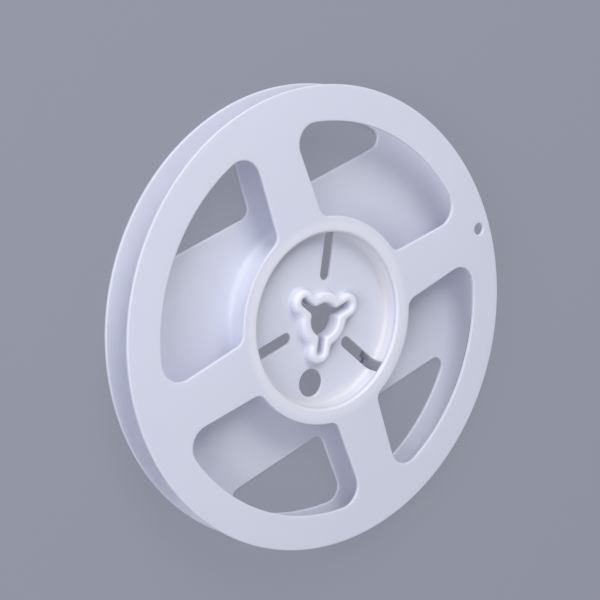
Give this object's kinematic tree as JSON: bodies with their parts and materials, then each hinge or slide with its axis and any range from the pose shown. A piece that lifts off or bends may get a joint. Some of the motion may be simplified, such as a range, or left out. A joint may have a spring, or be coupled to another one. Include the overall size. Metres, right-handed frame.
{
  "type": "surface-mount tape reel",
  "caption": "Empty white plastic tape reel with a windowed flange, a label flange, a hollow slotted hub and a keyed arbor boss.",
  "frame": {"origin": "centre of the label flange's outer face, on the reel's axis", "axes": "+Z along the reel's axis towards the window flange, +X along the spoke that has the rim hole"},
  "size_m": [0.178, 0.178, 0.016],
  "materials": {
    "reel_plastic": "satin natural white polystyrene, slightly translucent"
  },
  "bodies": {
    "root": {"hub_flange": "reel_plastic", "window_flange": "reel_plastic"}
  },
  "joints": []
}
